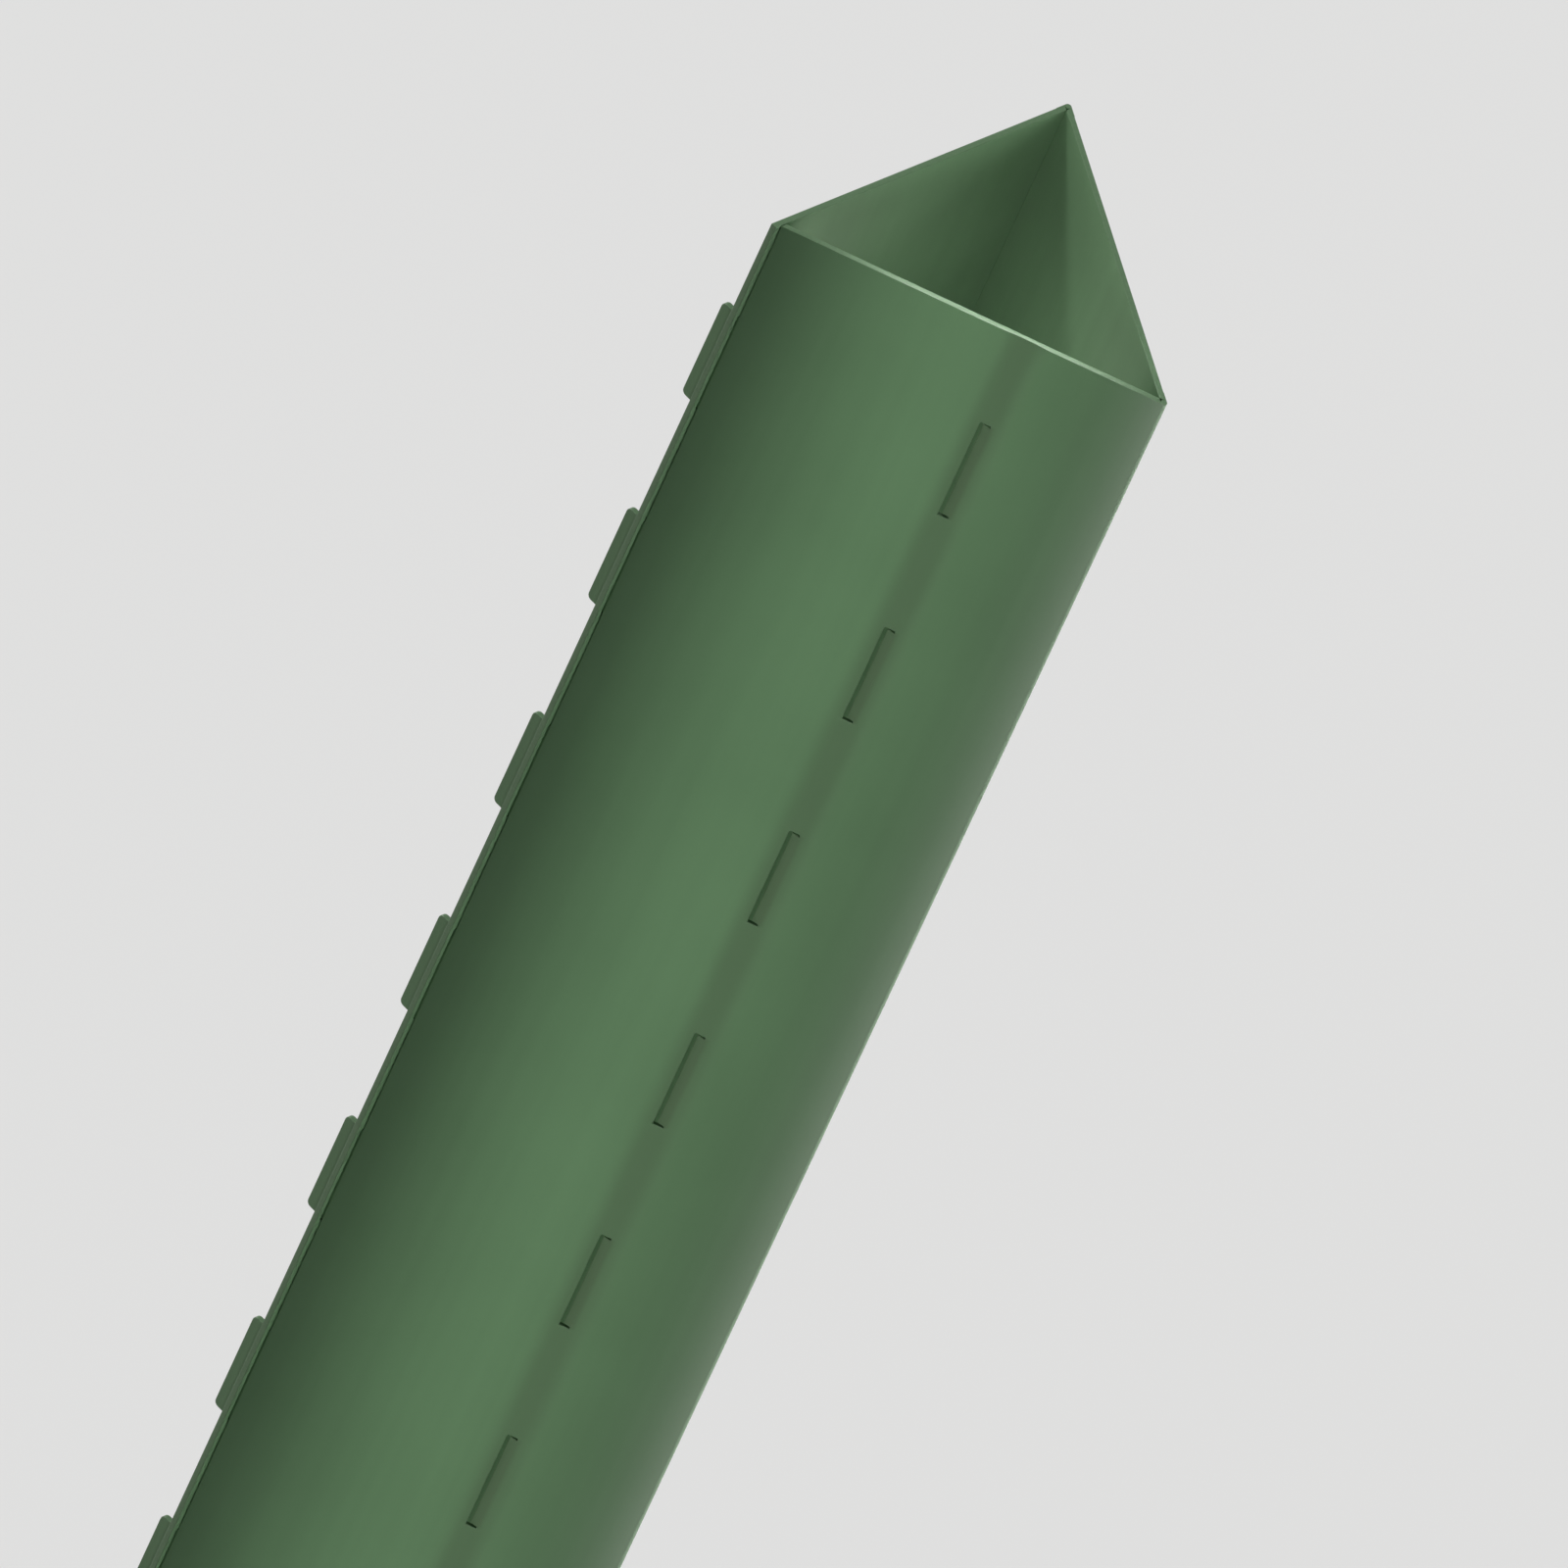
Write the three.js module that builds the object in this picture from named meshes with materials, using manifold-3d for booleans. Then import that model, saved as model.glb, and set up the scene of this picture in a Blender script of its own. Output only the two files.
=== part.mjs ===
// A support post for climbing plants, folded from one die-cut sheet of green plastic.
// Three equal panels stand as a triangle that is open at both ends. Two corners are scored folds.
// The third is a seam: a row of tabs on the front panel's free edge is pushed through slots
// in the left panel. The front panel also has a row of slots for plant ties, on a pressed crease.
// A tie slot is lanced, not punched out: the strip in it is cut free on three sides and pushed in.
// Millimetres, +Z along the post. The front panel faces -Y, and the seam is on its left.

import * as THREE from 'three';
import { mergeVertices } from 'three/addons/utils/BufferGeometryUtils.js';
import Module from 'manifold-3d';

// The sheet and the triangle it is folded into.
const panelWidth = 75; // outer faces, corner to corner
const postLength = 614;
const sheetThickness = 1.2;
const foldGap = 0.15; // from a panel's edge to the fold that it turns on

// One pitch for the tabs and both rows of slots. The tie slots are centred along the post.
const rowPitch = 50;
const leastEndMargin = 25; // from an end of the post to the middle of the nearest tie slot
const tabDrop = 1.2; // from the middle of a tie slot down to the middle of its tab

// The seam.
const tabLength = 22; // along the post
const tabReach = 3; // past the left panel's outer face
const tabCornerRadius = 1;
const tabRootGap = 0.15; // from a tab's root to the panel edge that it bends on
const seamGap = 0.3; // from the front panel's free edge to the left panel
const tabClearance = 0.3; // all round a tab in its slot
const lipReach = 0.5; // left panel's free edge, past the corner of the triangle

// The tie slots and the crease that they stand on.
const tieSlotLength = 22.5;
const tieSlotWidth = 2;
const tieSlotInset = 27.2; // from the front panel's folded corner to the middle of the row
const slotCornerRadius = 0.5;
const flapGap = 0.5; // along the free side of the strip in a tie slot
const flapEndGap = 1.2; // at each end of that strip
const flapAngle = 15; // degrees that it is pushed in
const creaseWidth = 10;
const creaseDepth = 0.25;

const sheetColour = 0x557453;
const sheetRoughness = 0.48;

const roundSteps = 4; // segments in a quarter turn of a small radius
const foldSides = 24;

// Angles and places of the section, seen from above.
const panelCount = 3;
const turnPerPanel = (2 * Math.PI) / panelCount;
const cornerAngle = Math.PI - turnPerPanel;
const halfCorner = cornerAngle / 2;
const halfWidth = panelWidth / 2;
const halfSheet = sheetThickness / 2;
const inradius = halfWidth * Math.tan(halfCorner);

// A fold is a round rib at half the sheet's thickness, which both panels turn on.
const foldAxisX = halfWidth - halfSheet / Math.tan(halfCorner);
const foldReliefRadius = halfSheet + foldGap;
const reliefStart = Math.PI + Math.asin(halfSheet / foldReliefRadius);
const reliefEnd = Math.PI - halfCorner + Math.asin(foldGap / 2 / foldReliefRadius);
const foldedOuterX = foldAxisX - Math.sqrt(foldReliefRadius ** 2 - halfSheet ** 2);
const foldedInnerX = foldAxisX - halfSheet / Math.tan(halfCorner) - foldGap / 2 / Math.sin(halfCorner);

// The front panel's free edge lies along the left panel, and its tabs stand square to that panel.
const tabRootX = -halfWidth + (sheetThickness + seamGap) / Math.sin(cornerAngle);
const seamInnerX = tabRootX + sheetThickness / Math.tan(cornerAngle);
const tabBend = Math.PI / 2 - cornerAngle;
const tabDepth = seamGap + sheetThickness + tabReach;
const tabInset = (sheetThickness + seamGap) / Math.tan(cornerAngle) + halfSheet;
const tieSlotX = halfWidth - tieSlotInset;
const flapReach = tieSlotWidth - flapGap;
const flapLength = tieSlotLength - 2 * flapEndGap;
const flapThickness = sheetThickness - creaseDepth;

const rowCount = 1 + Math.floor((postLength - 2 * leastEndMargin) / rowPitch);
const rowStart = (postLength - (rowCount - 1) * rowPitch) / 2;
const tieHeights = Array.from({ length: rowCount }, (_, row) => rowStart + row * rowPitch);
const tabHeights = tieHeights.map((height) => height - tabDrop);

const wasm = await Module();
wasm.setup();

// A closed geometry as a solid that can be cut.
function solidOf(geometry) {
  const bare = geometry.clone();
  bare.deleteAttribute('normal');
  bare.deleteAttribute('uv');
  const merged = mergeVertices(bare);
  return new wasm.Manifold(new wasm.Mesh({
    numProp: 3,
    vertProperties: merged.attributes.position.array,
    triVerts: new Uint32Array(merged.index.array),
  }));
}

// A cut solid as a flat-shaded geometry.
function geometryOf(solid) {
  const { numProp, vertProperties, triVerts } = solid.getMesh();
  const points = new THREE.InterleavedBuffer(new Float32Array(vertProperties), numProp);
  const indexed = new THREE.BufferGeometry();
  indexed.setAttribute('position', new THREE.InterleavedBufferAttribute(points, 3, 0));
  indexed.setIndex(new THREE.BufferAttribute(new Uint32Array(triVerts), 1));
  const geometry = indexed.toNonIndexed();
  geometry.computeVertexNormals();
  return geometry;
}

// A section seen from above, drawn out to the post's length.
function drawOut(section) {
  return new THREE.ExtrudeGeometry(section, {
    depth: postLength,
    curveSegments: roundSteps,
    bevelEnabled: false,
  });
}

// An outline on the outer face, with y along the post, pushed inwards from y = front to y = back.
function pushIn(outline, front, back) {
  const geometry = new THREE.ExtrudeGeometry(outline, {
    depth: back - front,
    curveSegments: roundSteps / 2,
    bevelEnabled: false,
  });
  return geometry.rotateX(Math.PI / 2).translate(0, back, 0);
}

// The right-hand end of a panel's section where it is folded, from the outer face to the inner.
function foldedEnd(section) {
  section.lineTo(foldedOuterX, 0);
  section.absarc(foldAxisX, halfSheet, foldReliefRadius, reliefStart, reliefEnd, true);
  section.lineTo(foldedInnerX, sheetThickness);
}

// The same end on the left, from the inner face to the outer.
function foldedStart(section) {
  section.lineTo(-foldedInnerX, sheetThickness);
  section.absarc(
    -foldAxisX, halfSheet, foldReliefRadius, Math.PI - reliefEnd, Math.PI - reliefStart, true,
  );
}

// The front panel's section. Its outer face dips softly into the crease and out again.
function frontSection() {
  const easeX = creaseWidth / 4;
  const startX = tieSlotX - creaseWidth / 2;
  const endX = tieSlotX + creaseWidth / 2;
  const section = new THREE.Shape();
  section.moveTo(tabRootX, 0);
  section.lineTo(startX, 0);
  section.bezierCurveTo(startX + easeX, 0, tieSlotX - easeX, creaseDepth, tieSlotX, creaseDepth);
  section.bezierCurveTo(tieSlotX + easeX, creaseDepth, endX - easeX, 0, endX, 0);
  foldedEnd(section);
  section.lineTo(seamInnerX, sheetThickness);
  section.closePath();
  return section;
}

function rightSection() {
  const section = new THREE.Shape();
  section.moveTo(-foldedOuterX, 0);
  foldedEnd(section);
  foldedStart(section);
  section.closePath();
  return section;
}

function leftSection() {
  const section = new THREE.Shape();
  section.moveTo(-foldedOuterX, 0);
  section.lineTo(halfWidth + lipReach, 0);
  section.lineTo(halfWidth + lipReach, sheetThickness);
  foldedStart(section);
  section.closePath();
  return section;
}

// A slot's outline with small round corners, centred on a point of the panel.
function slotOutline(x, z, width, length) {
  const radius = Math.min(slotCornerRadius, width / 2);
  const sideX = width / 2 - radius;
  const endZ = length / 2 - radius;
  const outline = new THREE.Shape();
  outline.absarc(x + sideX, z - endZ, radius, -Math.PI / 2, 0);
  outline.absarc(x + sideX, z + endZ, radius, 0, Math.PI / 2);
  outline.absarc(x - sideX, z + endZ, radius, Math.PI / 2, Math.PI);
  outline.absarc(x - sideX, z - endZ, radius, Math.PI, 1.5 * Math.PI);
  outline.closePath();
  return outline;
}

// A panel drawn out from its section, with a slot cut through it at each height.
function slottedPanel(section, heights, slotX, slotWidth, slotLength) {
  let solid = solidOf(drawOut(section));
  for (const height of heights) {
    const outline = slotOutline(slotX, height, slotWidth, slotLength);
    solid = solid.subtract(solidOf(pushIn(outline, -sheetThickness, 2 * sheetThickness)));
  }
  return solid;
}

// The strip left in a tie slot, joined to the slot's right-hand side and turned in about that side.
function tieFlap(height) {
  const geometry = new THREE.BoxGeometry(flapReach, flapThickness, flapLength);
  geometry.translate(-flapReach / 2, flapThickness / 2, 0);
  geometry.rotateZ(-THREE.MathUtils.degToRad(flapAngle));
  return geometry.translate(tieSlotX + tieSlotWidth / 2, creaseDepth, height);
}

function frontPanel() {
  let solid = slottedPanel(frontSection(), tieHeights, tieSlotX, tieSlotWidth, tieSlotLength);
  for (const height of tieHeights) {
    solid = solid.add(solidOf(tieFlap(height)));
  }
  return geometryOf(solid);
}

// A tab seen square on: straight at its root, with rounded corners at its tip.
function tabOutline() {
  const radius = Math.min(tabCornerRadius, tabLength / 2, tabReach);
  const halfLength = tabLength / 2;
  const outline = new THREE.Shape();
  outline.moveTo(-tabRootGap, -halfLength);
  outline.lineTo(-tabRootGap, halfLength);
  outline.absarc(radius - tabDepth, halfLength - radius, radius, Math.PI / 2, Math.PI);
  outline.absarc(radius - tabDepth, radius - halfLength, radius, Math.PI, 1.5 * Math.PI);
  outline.closePath();
  return outline;
}

function sheetPiece(name, geometry) {
  const material = new THREE.MeshStandardMaterial({
    color: sheetColour,
    roughness: sheetRoughness,
    metalness: 0,
  });
  const mesh = new THREE.Mesh(geometry, material);
  mesh.name = name;
  return mesh;
}

// A side of the triangle as a group whose outer face lies on y = 0, with +Y inwards.
function triangleSide(turns) {
  const turned = new THREE.Group();
  turned.rotation.z = turns * turnPerPanel;
  const side = new THREE.Group();
  side.position.y = -inradius;
  turned.add(side);
  return { turned, side };
}

function foldRib(name, x) {
  const geometry = new THREE.CylinderGeometry(halfSheet, halfSheet, postLength, foldSides);
  const rib = sheetPiece(name, geometry.rotateX(Math.PI / 2));
  rib.position.set(x, halfSheet, postLength / 2);
  return rib;
}

// Front panel, with the tabs bent back from its free edge.
const front = triangleSide(0);
front.side.add(sheetPiece('front_panel', frontPanel()));
for (const [row, height] of tabHeights.entries()) {
  const name = `tab_${String(row + 1).padStart(2, '0')}`;
  const tab = sheetPiece(name, pushIn(tabOutline(), 0, sheetThickness));
  tab.position.set(tabRootX, 0, height);
  tab.rotation.z = -tabBend;
  front.side.add(tab);
}

// Right panel, the middle of the sheet, with the fold at each of its edges.
const right = triangleSide(1);
right.side.add(sheetPiece('right_panel', drawOut(rightSection())));
right.side.add(foldRib('front_fold', -foldAxisX));
right.side.add(foldRib('back_fold', foldAxisX));

// Left panel, with the slots that hold the tabs just behind its free edge.
const left = triangleSide(2);
const seamSlotX = halfWidth - tabInset;
const seamSlotWidth = sheetThickness + 2 * tabClearance;
const seamSlotLength = tabLength + 2 * tabClearance;
const leftSolid = slottedPanel(
  leftSection(), tabHeights, seamSlotX, seamSlotWidth, seamSlotLength,
);
left.side.add(sheetPiece('left_panel', geometryOf(leftSolid)));

const post = new THREE.Group();
post.add(front.turned, right.turned, left.turned);

// The post stands with the middle of its outline over the origin.
const outlineMiddle = new THREE.Box3().setFromObject(post).getCenter(new THREE.Vector3());
post.position.set(-outlineMiddle.x, -outlineMiddle.y, 0);

const plantPost = new THREE.Group();
plantPost.add(post);

export default plantPost;
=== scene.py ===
"""Looks of a folding plant post, dressed over its CAD frame.

The post is one die-cut sheet of green PVC, folded into a three-sided tube and locked along one
corner by tabs that stand in slots. Each panel is drawn out from its section, slotted and bevelled
along its cut edges. Each scored fold is a skin of sheet round the corner between two panels.
Lengths are millimetres until a mesh is put in its place, where they become metres.
"""

from __future__ import annotations

import logging
import math
from dataclasses import dataclass
from enum import Enum

import bmesh
import bpy
from mathutils import Matrix, Vector


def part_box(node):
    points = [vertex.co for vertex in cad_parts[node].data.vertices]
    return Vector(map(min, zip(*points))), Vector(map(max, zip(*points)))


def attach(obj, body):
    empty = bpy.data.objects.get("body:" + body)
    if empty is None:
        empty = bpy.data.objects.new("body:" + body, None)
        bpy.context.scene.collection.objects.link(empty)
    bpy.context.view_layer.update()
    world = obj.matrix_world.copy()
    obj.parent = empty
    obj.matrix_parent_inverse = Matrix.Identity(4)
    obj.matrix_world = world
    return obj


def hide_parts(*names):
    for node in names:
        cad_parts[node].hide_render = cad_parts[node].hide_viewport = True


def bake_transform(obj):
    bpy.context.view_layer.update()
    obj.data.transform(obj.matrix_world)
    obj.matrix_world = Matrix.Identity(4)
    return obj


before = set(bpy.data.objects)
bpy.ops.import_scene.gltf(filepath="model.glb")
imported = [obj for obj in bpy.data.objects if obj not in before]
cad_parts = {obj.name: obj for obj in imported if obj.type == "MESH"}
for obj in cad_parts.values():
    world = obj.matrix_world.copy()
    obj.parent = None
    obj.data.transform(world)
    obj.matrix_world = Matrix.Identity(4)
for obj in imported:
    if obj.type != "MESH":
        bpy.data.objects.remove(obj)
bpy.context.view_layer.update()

log = logging.getLogger("plant_post")

MM = 0.001
TURN_PER_PANEL = math.radians(120)
HALF_CORNER = math.radians(30)
CORNER = 2 * HALF_CORNER
SHARP_ANGLE = math.radians(40)
NEAR = 1e-3
FACING = 0.5
X_AXIS = Vector((1, 0, 0))
Z_AXIS = Vector((0, 0, 1))
# Vertex marks: paler folds, partly stress whitening and partly painted highlight, and painted shade on
# the crease and the slots' strips.
WHITENING_AND_PAINTED_HIGHLIGHT = "whitening"
CREASE_PAINTED_SHADE = "pressed"

# Sockets of the Mix node when it mixes colours.
MIX_FACTOR, MIX_A, MIX_B, MIX_RESULT = 0, 6, 7, 2


class Panel(Enum):
    """The three sides of the post, by how many thirds of a turn each stands from the front."""

    FRONT = 0
    RIGHT = 1
    LEFT = 2


class Surface(Enum):
    """Which of a piece's two material slots a face takes."""

    FACE = 0
    CUT_EDGE = 1


class Side(Enum):
    """The two ends of a panel's section, by the sign of their x."""

    LEFT = -1
    RIGHT = 1


def linear(colour: int) -> tuple[float, float, float, float]:
    """Turns an sRGB hex colour to linear light.

    Args:
        colour: Colour as 0xRRGGBB.

    Returns:
        Red, green, blue and an alpha of 1.
    """
    channels = []
    for shift in (16, 8, 0):
        value = (colour >> shift & 0xFF) / 255
        channels.append(value / 12.92 if value <= 0.04045 else ((value + 0.055) / 1.055) ** 2.4)
    return (*channels, 1.0)


def per_metre(size_mm: float) -> float:
    """Gives the scale of a texture on metre coordinates whose features are so many millimetres."""
    return 1 / (size_mm * MM)


def add_node(
    tree: bpy.types.NodeTree,
    kind: str,
    inputs: dict[str | int, object] | None = None,
    **settings: object,
) -> bpy.types.Node:
    """Adds a node with its settings and links.

    Args:
        tree: Tree that takes the node.
        kind: Blender's name for the type of node.
        inputs: Input sockets by name or index, each with its value or the output linked to it.
        settings: Properties of the node itself.

    Returns:
        The new node.
    """
    node = tree.nodes.new(kind)
    for name, value in settings.items():
        setattr(node, name, value)
    for key, value in (inputs or {}).items():
        if isinstance(value, bpy.types.NodeSocket):
            tree.links.new(value, node.inputs[key])
        else:
            node.inputs[key].default_value = value
    return node


def seen_directly(tree: bpy.types.NodeTree) -> bpy.types.NodeSocket:
    """Tells rays that show a surface, straight or in a gloss, from those that only carry its light.

    Args:
        tree: Tree of the floor or the world.

    Returns:
        Socket that is 1 for the first kind and 0 for the second.
    """
    path = add_node(tree, "ShaderNodeLightPath")
    kinds = ("Is Camera Ray", "Is Glossy Ray", "Is Transmission Ray")
    seen = path.outputs[kinds[0]]
    for kind in kinds[1:]:
        seen = add_node(
            tree, "ShaderNodeMath", {0: seen, 1: path.outputs[kind]}, operation="MAXIMUM",
        ).outputs["Value"]
    return seen


def bare_material(name: str) -> bpy.types.Material:
    """Makes a material with an empty node tree.

    Args:
        name: The material's name.

    Returns:
        The new material.
    """
    material = bpy.data.materials.new(name)
    material.use_nodes = True
    material.node_tree.nodes.clear()
    return material


@dataclass(frozen=True)
class SheetFinish:
    """Rigid PVC sheet, dyed through, extruded and matted between rollers.

    The rollers leave a fine even grain with a soft sheen, and the draw leaves faint streaks along the
    sheet. The folds are paler, partly where the bend has stretched the plastic and partly as a painted
    highlight, and painted shade darkens the crease along the slots and the slots' strips.
    """

    name: str = "rigid_pvc_roller_matted"
    colour: int = 0x597E56
    dark_colour: int = 0x537750
    # Paler colour at the folds: partly the stress whitening of a bent sheet, partly a painted highlight
    # along the corners.
    pale_colour: int = 0x98AE95
    # Painted shade: the crease along the slots and the slots' strips are darkened towards this colour.
    painted_crease_shade_colour: int = 0x45603F
    # PVC's own index is 1.53. The matted face reflects less, so the value is lowered to match it.
    ior: float = 1.38
    sheen: float = 0.08
    sheen_roughness: float = 0.5
    least_roughness: float = 0.42
    most_roughness: float = 0.54
    cloud_mm: float = 38
    cloud_detail: float = 3.0
    streak_mm: float = 3.5
    streak_detail: float = 2.0
    streak_stretch: float = 0.02
    streak_share: float = 0.4
    dye_low: float = 0.35
    dye_high: float = 0.65
    smudge_mm: float = 14
    smudge_detail: float = 4.0
    smudge_low: float = 0.3
    smudge_high: float = 0.7
    # Roller grain is about 0.1 mm wide. It is drawn coarser here, so that it shows.
    grain_mm: float = 0.55
    grain_detail: float = 1.0
    grain_depth_mm: float = 0.012
    wave_mm: float = 70
    wave_detail: float = 0.0
    wave_depth_mm: float = 0.2

    def material(self) -> bpy.types.Material:
        """Builds the material.

        Returns:
            The material of the sheet's two faces.
        """
        material = bare_material(self.name)
        tree = material.node_tree
        place = add_node(tree, "ShaderNodeTexCoord").outputs["Object"]
        colour = self.dye_and_painted_light(tree, place)
        smudges = add_node(
            tree, "ShaderNodeTexNoise",
            {"Vector": place, "Scale": per_metre(self.smudge_mm), "Detail": self.smudge_detail},
        )
        roughness = add_node(
            tree, "ShaderNodeMapRange",
            {
                "Value": smudges.outputs["Fac"],
                "From Min": self.smudge_low,
                "From Max": self.smudge_high,
                "To Min": self.least_roughness,
                "To Max": self.most_roughness,
            },
        )
        shader = add_node(
            tree, "ShaderNodeBsdfPrincipled",
            {
                "Base Color": colour,
                "Roughness": roughness.outputs["Result"],
                "IOR": self.ior,
                "Sheen Weight": self.sheen,
                "Sheen Roughness": self.sheen_roughness,
                "Normal": self.relief(tree, place),
            },
        )
        add_node(tree, "ShaderNodeOutputMaterial", {"Surface": shader.outputs["BSDF"]})
        return material

    def dye_and_painted_light(self, tree: bpy.types.NodeTree, place: bpy.types.NodeSocket) -> bpy.types.NodeSocket:
        """Colours the sheet: clouds and streaks of its colour, painted shade in the crease and on the
        slots' strips, and folds paled partly by stretch and partly by painted highlight.

        Args:
            tree: The material's tree.
            place: Object coordinates.

        Returns:
            The colour's socket.
        """
        clouds = add_node(
            tree, "ShaderNodeTexNoise",
            {"Vector": place, "Scale": per_metre(self.cloud_mm), "Detail": self.cloud_detail},
        )
        drawn = add_node(
            tree, "ShaderNodeMapping", {"Vector": place, "Scale": (1, 1, self.streak_stretch)},
        )
        streaks = add_node(
            tree, "ShaderNodeTexNoise",
            {
                "Vector": drawn.outputs["Vector"],
                "Scale": per_metre(self.streak_mm),
                "Detail": self.streak_detail,
            },
        )
        uneven = add_node(
            tree, "ShaderNodeMix",
            {
                "Factor": self.streak_share,
                "A": clouds.outputs["Fac"],
                "B": streaks.outputs["Fac"],
            },
        )
        share = add_node(
            tree, "ShaderNodeMapRange",
            {
                "Value": uneven.outputs["Result"],
                "From Min": self.dye_low,
                "From Max": self.dye_high,
            },
        )
        green = add_node(
            tree, "ShaderNodeMix",
            {
                MIX_FACTOR: share.outputs["Result"],
                MIX_A: linear(self.dark_colour),
                MIX_B: linear(self.colour),
            },
            data_type="RGBA",
        )
        colour = green.outputs[MIX_RESULT]
        # Painted shade on the crease and the strips, then paler folds: partly stress whitening, partly
        # painted highlight.
        for mark, shade in ((CREASE_PAINTED_SHADE, self.painted_crease_shade_colour), (WHITENING_AND_PAINTED_HIGHLIGHT, self.pale_colour)):
            strain_and_painted_light = add_node(tree, "ShaderNodeAttribute", attribute_name=mark)
            colour = add_node(
                tree, "ShaderNodeMix",
                {MIX_FACTOR: strain_and_painted_light.outputs["Fac"], MIX_A: colour, MIX_B: linear(shade)},
                data_type="RGBA",
            ).outputs[MIX_RESULT]
        return colour

    def relief(self, tree: bpy.types.NodeTree, place: bpy.types.NodeSocket) -> bpy.types.NodeSocket:
        """Gives the rollers' grain on top of the long waves of a thin sheet.

        Args:
            tree: The material's tree.
            place: Object coordinates.

        Returns:
            The normal's socket.
        """
        waves = add_node(
            tree, "ShaderNodeTexNoise",
            {"Vector": place, "Scale": per_metre(self.wave_mm), "Detail": self.wave_detail},
        )
        waved = add_node(
            tree, "ShaderNodeBump",
            {"Height": waves.outputs["Fac"], "Distance": self.wave_depth_mm * MM},
        )
        grain = add_node(
            tree, "ShaderNodeTexNoise",
            {"Vector": place, "Scale": per_metre(self.grain_mm), "Detail": self.grain_detail},
        )
        grained = add_node(
            tree, "ShaderNodeBump",
            {
                "Height": grain.outputs["Fac"],
                "Distance": self.grain_depth_mm * MM,
                "Normal": waved.outputs["Normal"],
            },
        )
        return grained.outputs["Normal"]


@dataclass(frozen=True)
class CutEdgeFinish:
    """Die-cut edge of the same PVC, sheared by a steel rule.

    Shearing leaves a finely torn surface that catches the light as a thin line. Painted shade darkens
    its pits.
    """

    name: str = "rigid_pvc_die_cut"
    colour: int = 0x5E8059
    # Painted shade, taken by the low points of the tears.
    dark_colour: int = 0x4E6F4C
    ior: float = 1.45
    roughness: float = 0.45
    # Tears are about 0.1 mm wide. They are drawn coarser here, so that they show.
    tear_mm: float = 0.7
    tear_detail: float = 3.0
    tear_depth_mm: float = 0.02

    def material(self) -> bpy.types.Material:
        """Builds the material.

        Returns:
            The material of the sheet's cut edges.
        """
        material = bare_material(self.name)
        tree = material.node_tree
        place = add_node(tree, "ShaderNodeTexCoord").outputs["Object"]
        tears = add_node(
            tree, "ShaderNodeTexNoise",
            {"Vector": place, "Scale": per_metre(self.tear_mm), "Detail": self.tear_detail},
        )
        # Painted shade: the tears' low points take the darker colour, their high points the lighter
        # one.
        colour = add_node(
            tree, "ShaderNodeMix",
            {
                MIX_FACTOR: tears.outputs["Fac"],
                MIX_A: linear(self.dark_colour),
                MIX_B: linear(self.colour),
            },
            data_type="RGBA",
        )
        torn = add_node(
            tree, "ShaderNodeBump",
            {"Height": tears.outputs["Fac"], "Distance": self.tear_depth_mm * MM},
        )
        shader = add_node(
            tree, "ShaderNodeBsdfPrincipled",
            {
                "Base Color": colour.outputs[MIX_RESULT],
                "Roughness": self.roughness,
                "IOR": self.ior,
                "Normal": torn.outputs["Normal"],
            },
        )
        add_node(tree, "ShaderNodeOutputMaterial", {"Surface": shader.outputs["BSDF"]})
        return material


@dataclass(frozen=True)
class FloorFinish:
    """Matt painted studio floor, which shows soft shadows and no gloss.

    It glows pale to the rays that see it, and throws only a mid grey's light back on the post.
    """

    name: str = "matt_floor_paint"
    colour: int = 0x757573
    pale_colour: int = 0xDADADA
    pale_share: float = 0.88
    roughness: float = 0.9

    def material(self) -> bpy.types.Material:
        """Builds the material.

        Returns:
            The floor's material.
        """
        material = bare_material(self.name)
        tree = material.node_tree
        glow = add_node(
            tree, "ShaderNodeMath", {0: seen_directly(tree), 1: self.pale_share},
            operation="MULTIPLY",
        )
        shader = add_node(
            tree, "ShaderNodeBsdfPrincipled",
            {
                "Base Color": linear(self.colour),
                "Roughness": self.roughness,
                "Specular IOR Level": 0.0,
                "Emission Color": linear(self.pale_colour),
                "Emission Strength": glow.outputs["Value"],
            },
        )
        add_node(tree, "ShaderNodeOutputMaterial", {"Surface": shader.outputs["BSDF"]})
        return material


@dataclass(frozen=True)
class Finishes:
    """The two materials that every piece of the sheet takes, in the order of Surface."""

    face: bpy.types.Material
    cut_edge: bpy.types.Material


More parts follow.
